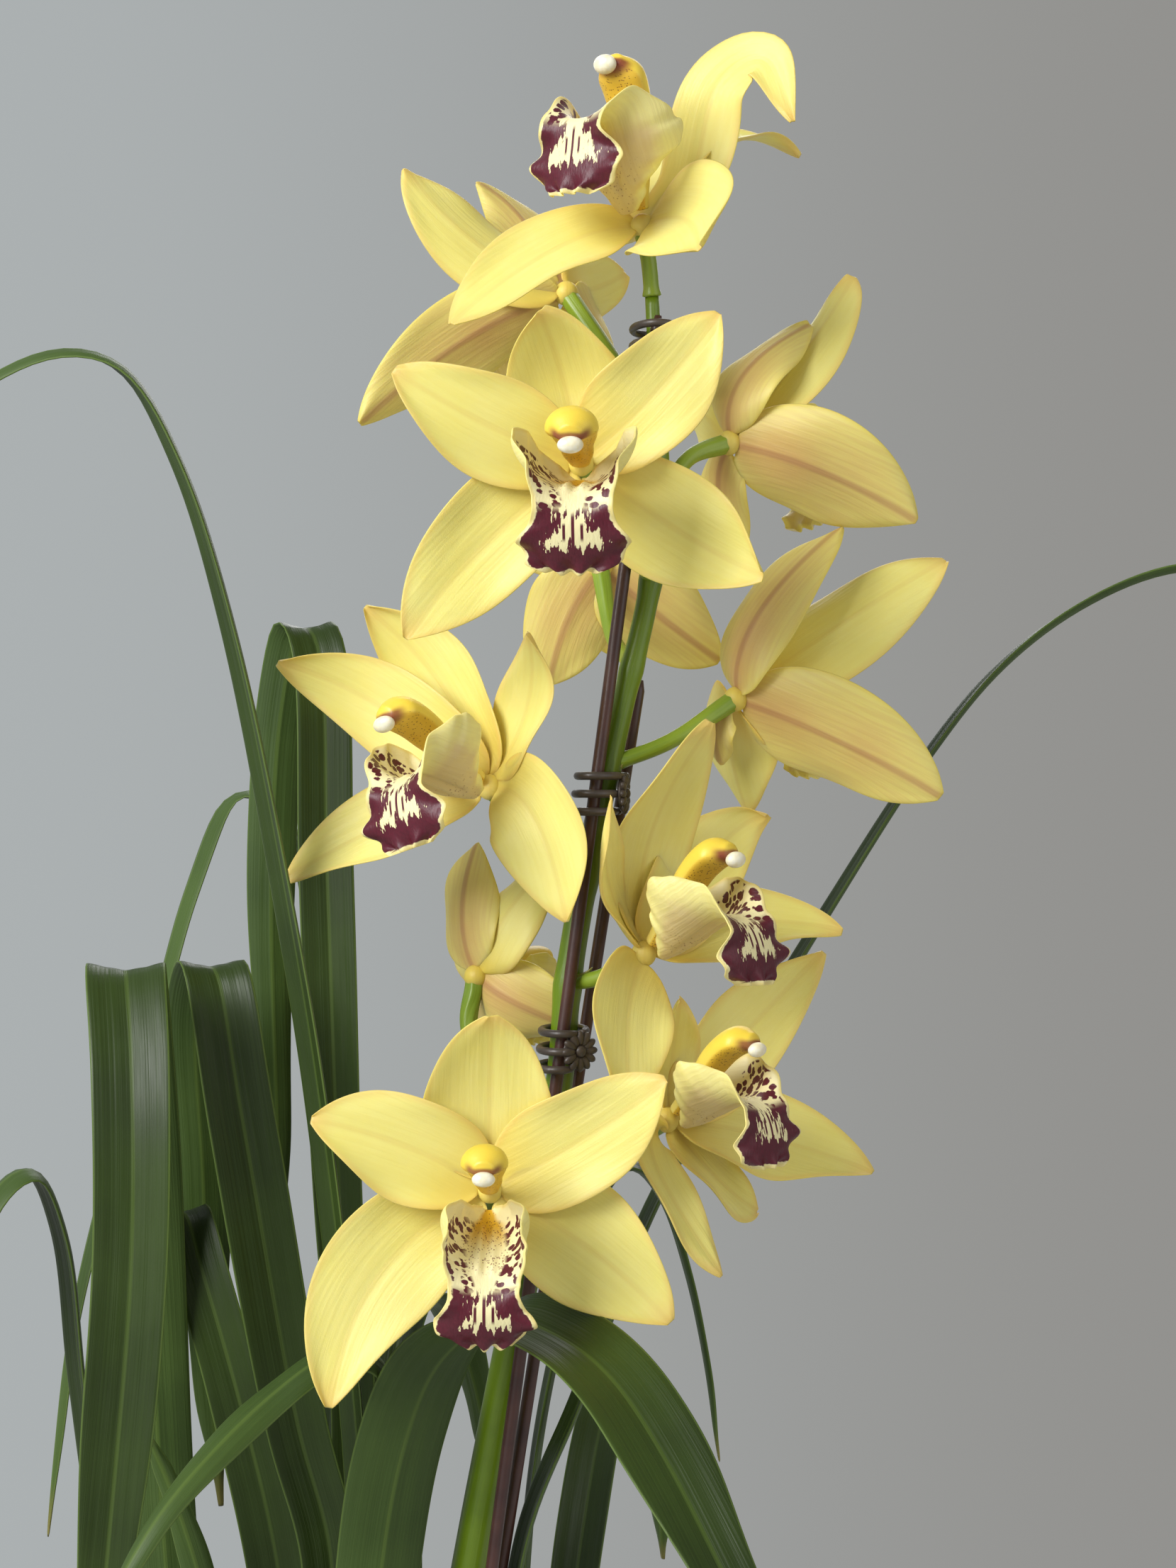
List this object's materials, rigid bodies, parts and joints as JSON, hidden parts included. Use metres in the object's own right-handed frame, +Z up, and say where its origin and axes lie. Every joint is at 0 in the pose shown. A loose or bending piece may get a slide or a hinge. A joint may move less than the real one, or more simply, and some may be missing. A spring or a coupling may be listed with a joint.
{
  "type": "potted orchid",
  "caption": "Flowering potted orchid: leaning spike of yellow blooms with dark spotted lips, support stakes and clips, arching strap leaves, bark mix and a plain round pot.",
  "frame": {"origin": "centre of the pot's flat underside, on the surface it stands on", "axes": "+Z up; -Y faces the viewer, so the flowers mostly face -Y; +X to the viewer's right, the way the spike leans"},
  "size_m": [0.4853, 0.3167, 0.8648],
  "materials": {
    "tepals": "thin satin petals, lemon yellow with faint veins",
    "lip": "cream lip with burgundy band and spots",
    "column": "waxy golden column with a cream anther cap",
    "spike": "smooth waxy green stem",
    "stake": "dark maroon brown coated stake",
    "clip": "dark grey brown moulded clip",
    "leaf": "satin dark green strap leaf",
    "pseudobulb": "ribbed green bulb with papery sheaths",
    "bark": "rough brown bark chips",
    "pot": "plain matt off-white pot"
  },
  "bodies": {
    "root": {"flower_01_column": "column", "flower_01_lip": "lip", "flower_01_perianth": "tepals", "flower_02_column": "column", "flower_02_lip": "lip", "flower_02_perianth": "tepals", "flower_03_column": "column", "flower_03_lip": "lip", "flower_03_perianth": "tepals", "flower_04_column": "column", "flower_04_lip": "lip", "flower_04_perianth": "tepals", "flower_05_column": "column", "flower_05_lip": "lip", "flower_05_perianth": "tepals", "flower_06_column": "column", "flower_06_lip": "lip", "flower_06_perianth": "tepals", "flower_07_column": "column", "flower_07_lip": "lip", "flower_07_perianth": "tepals", "flower_08_column": "column", "flower_08_lip": "lip", "flower_08_perianth": "tepals", "flower_09_column": "column", "flower_09_lip": "lip", "flower_09_perianth": "tepals", "flower_10_column": "column", "flower_10_lip": "lip", "flower_10_perianth": "tepals", "flower_11_column": "column", "flower_11_lip": "lip", "flower_11_perianth": "tepals", "flower_spike": "spike", "leaf_back_low": "leaf", "leaf_back_right": "leaf", "leaf_behind_arching": "leaf", "leaf_behind_tall": "leaf", "leaf_far_left": "leaf", "leaf_front_broad": "leaf", "leaf_front_crossing": "leaf", "leaf_front_left_broad": "leaf", "leaf_left_folded": "leaf", "leaf_left_middle": "leaf", "leaf_long_left": "leaf", "leaf_long_right": "leaf", "leaf_rear_arching": "leaf", "leaf_short_young": "leaf", "pot": "pot", "potting_mix": "bark", "pseudobulb_back": "pseudobulb", "pseudobulb_front": "pseudobulb", "pseudobulb_left": "pseudobulb", "pseudobulb_right": "pseudobulb", "stake_clip_lower": "clip", "stake_clip_middle": "clip", "stake_clip_upper": "clip", "support_stake_front": "stake", "support_stake_rear": "stake"}
  },
  "joints": []
}
